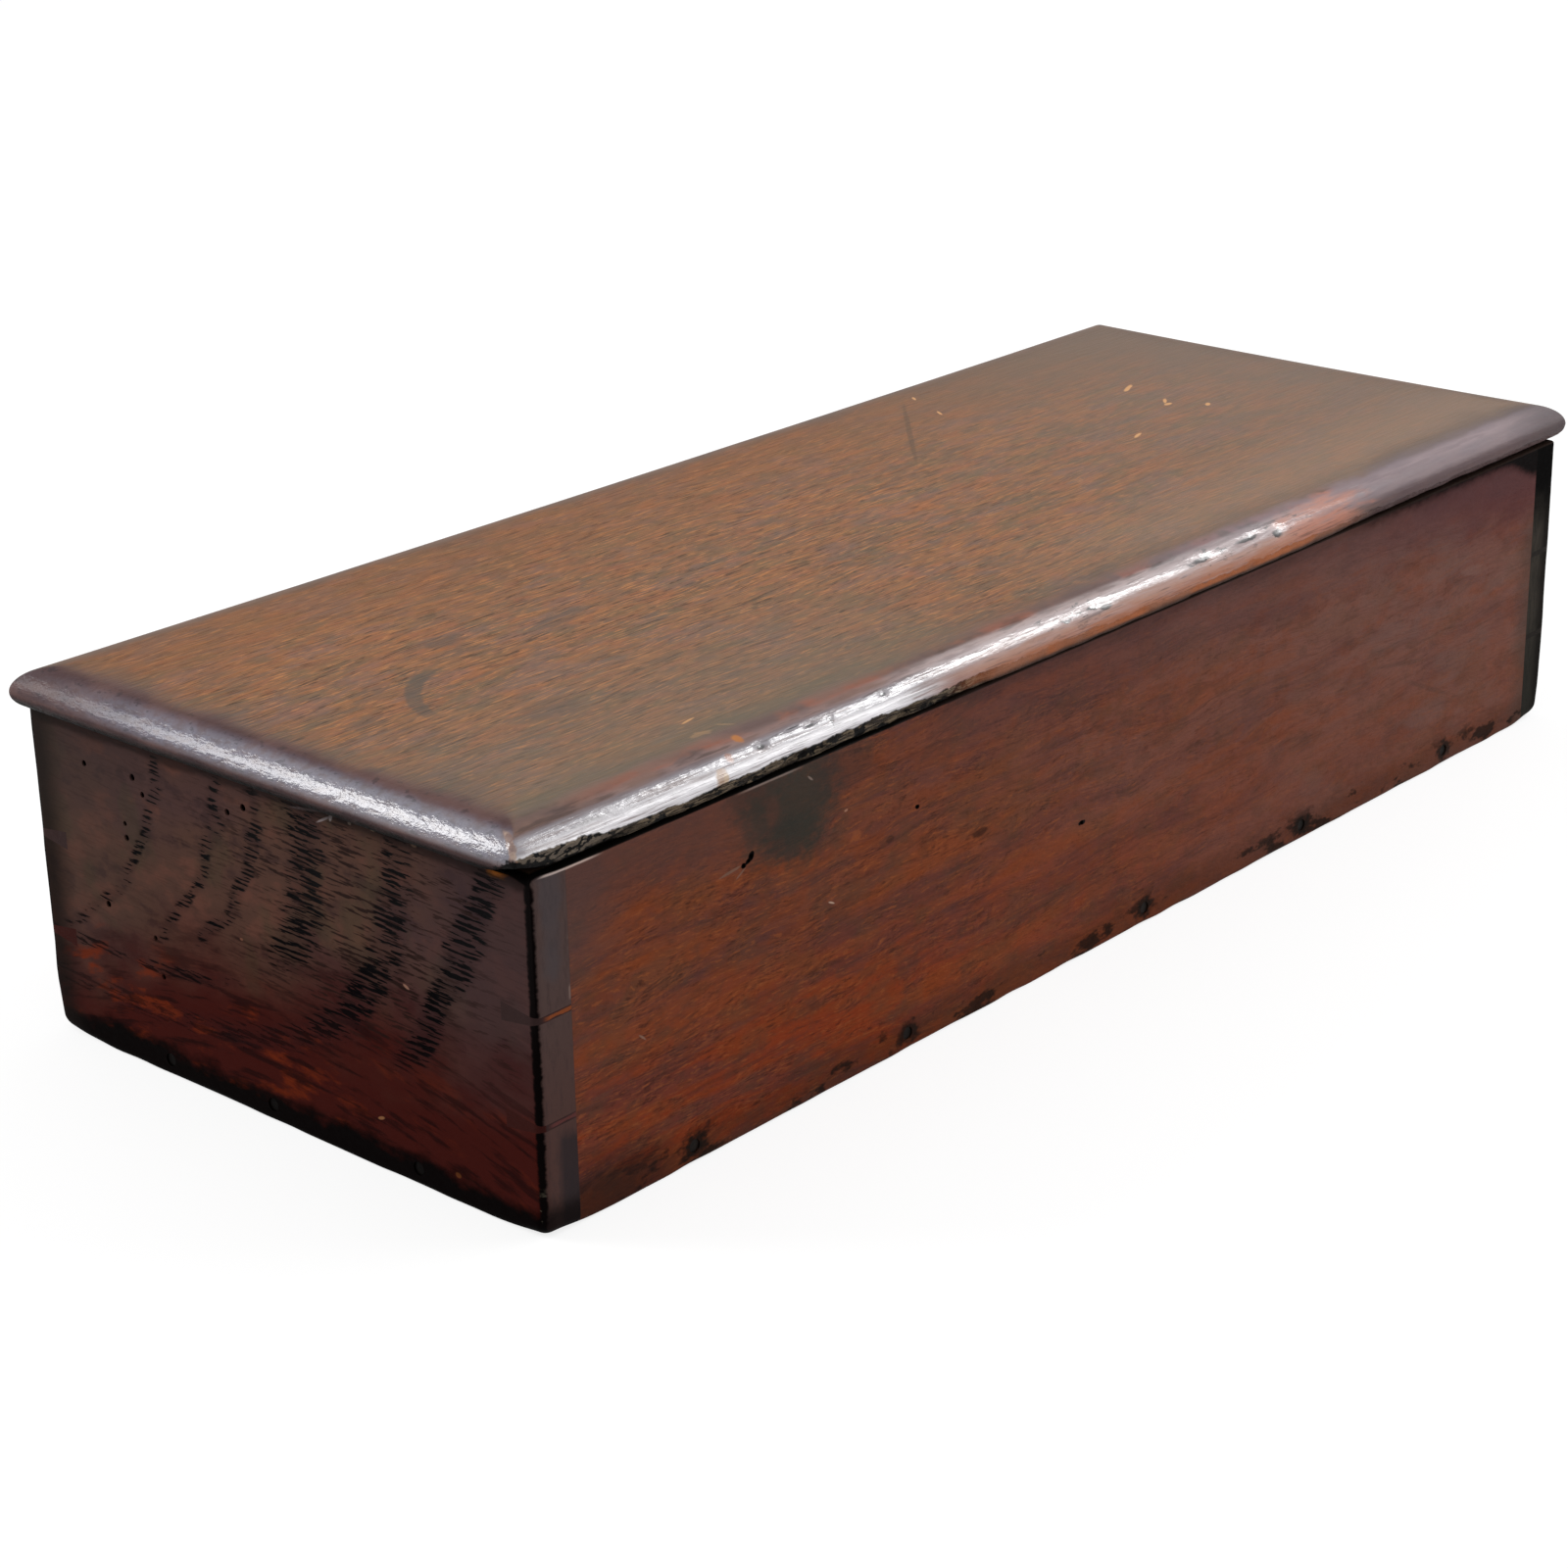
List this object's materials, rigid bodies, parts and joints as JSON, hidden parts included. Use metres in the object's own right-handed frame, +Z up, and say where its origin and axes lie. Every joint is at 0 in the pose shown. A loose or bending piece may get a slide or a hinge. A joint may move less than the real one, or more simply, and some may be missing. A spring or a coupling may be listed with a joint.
{
  "type": "candle box",
  "caption": "Long, low dovetailed hardwood box with a thumbnail-moulded lid on butt hinges at the back, for candles, papers and keepsakes.",
  "frame": {"origin": "centre of the body's underside, on the surface that the box stands on", "axes": "+X along the length, to the right when the front is seen; +Y from the front to the back; +Z up"},
  "size_m": [0.3854, 0.1558, 0.0858],
  "materials": {
    "wall_wood": "worn dark red-brown varnish, satin",
    "end_wood": "worn dark varnish, nearly black at the foot",
    "bottom_wood": "bare, aged",
    "lid_wood": "worn orange-brown varnish, satin",
    "iron": "dark, rusted",
    "hinge_brass": "tarnished",
    "screw_brass": "tarnished"
  },
  "bodies": {
    "body": {"front_board": "wall_wood", "back_board": "wall_wood", "left_end_board": "end_wood", "right_end_board": "end_wood", "bottom_board": "bottom_wood", "front_nails": "iron", "back_nails": "iron", "left_end_nails": "iron", "right_end_nails": "iron", "left_hinge_body_leaf": "hinge_brass", "right_hinge_body_leaf": "hinge_brass", "left_hinge_pin": "hinge_brass", "right_hinge_pin": "hinge_brass", "left_hinge_body_screws": "screw_brass", "right_hinge_body_screws": "screw_brass"},
    "lid": {"lid_board": "lid_wood", "left_hinge_lid_leaf": "hinge_brass", "right_hinge_lid_leaf": "hinge_brass", "left_hinge_lid_screws": "screw_brass", "right_hinge_lid_screws": "screw_brass"}
  },
  "joints": [
    {"name": "lid_hinge", "type": "hinge", "parent": "body", "child": "lid", "pos_m": [0, 0.07675, 0.07635], "axis": [-1, 0, 0], "range_deg": [0, 180]}
  ]
}
